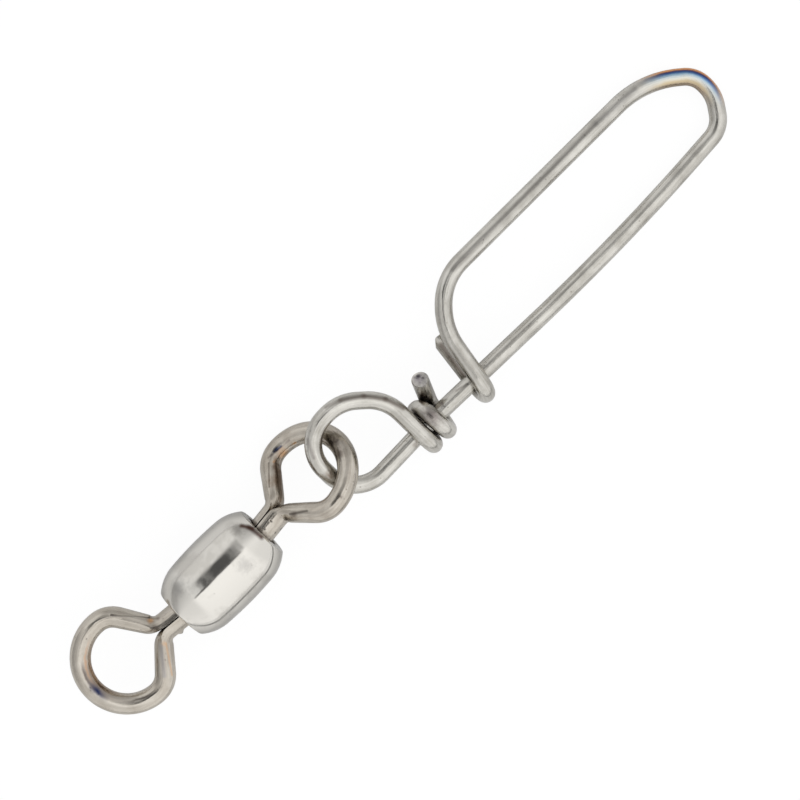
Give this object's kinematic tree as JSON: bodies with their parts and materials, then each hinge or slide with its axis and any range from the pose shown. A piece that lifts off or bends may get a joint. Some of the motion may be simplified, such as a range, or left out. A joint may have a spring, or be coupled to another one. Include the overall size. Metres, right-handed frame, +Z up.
{
  "type": "fishing snap swivel",
  "caption": "Rolling barrel swivel with coined wire eyes, linked to a one-wire coiled snap whose long loop latches over its own shank.",
  "frame": {"origin": "centre of the hole in the line eye, which lies at the height of the barrel's axis", "axes": "+X runs from the line eye to the far bend of the snap, along the barrel's axis; +Z is up from the surface that the part lies on"},
  "size_m": [0.0616, 0.0095, 0.0058],
  "materials": {
    "barrel_plating": "polished nickel plate with soft swaging marks",
    "eye_wire": "bright drawn stainless wire, coined legs, brown tint in the creases",
    "snap_wire": "drawn stainless spring wire with draw lines, heat tint at the far bend"
  },
  "bodies": {
    "barrel": {"barrel": "barrel_plating"},
    "line_eye": {"line_eye": "eye_wire"},
    "link_eye": {"link_eye": "eye_wire"},
    "snap": {"snap": "snap_wire"}
  },
  "joints": [
    {"name": "line_eye_spin", "type": "hinge", "parent": "barrel", "child": "line_eye", "pos_m": [0.00528, -0.00055, 0], "axis": [-0.9947, 0.1028, 0], "continuous": true},
    {"name": "link_eye_spin", "type": "hinge", "parent": "barrel", "child": "link_eye", "pos_m": [0.01263, -0.00055, 0], "axis": [0.9951, 0.0993, 0], "continuous": true},
    {"name": "snap_swing", "type": "hinge", "parent": "link_eye", "child": "snap", "pos_m": [0.02123, -0.00009, -0.00064], "axis": [-0.2528, -0.5269, 0.8115], "range_deg": [-120, 120]}
  ]
}
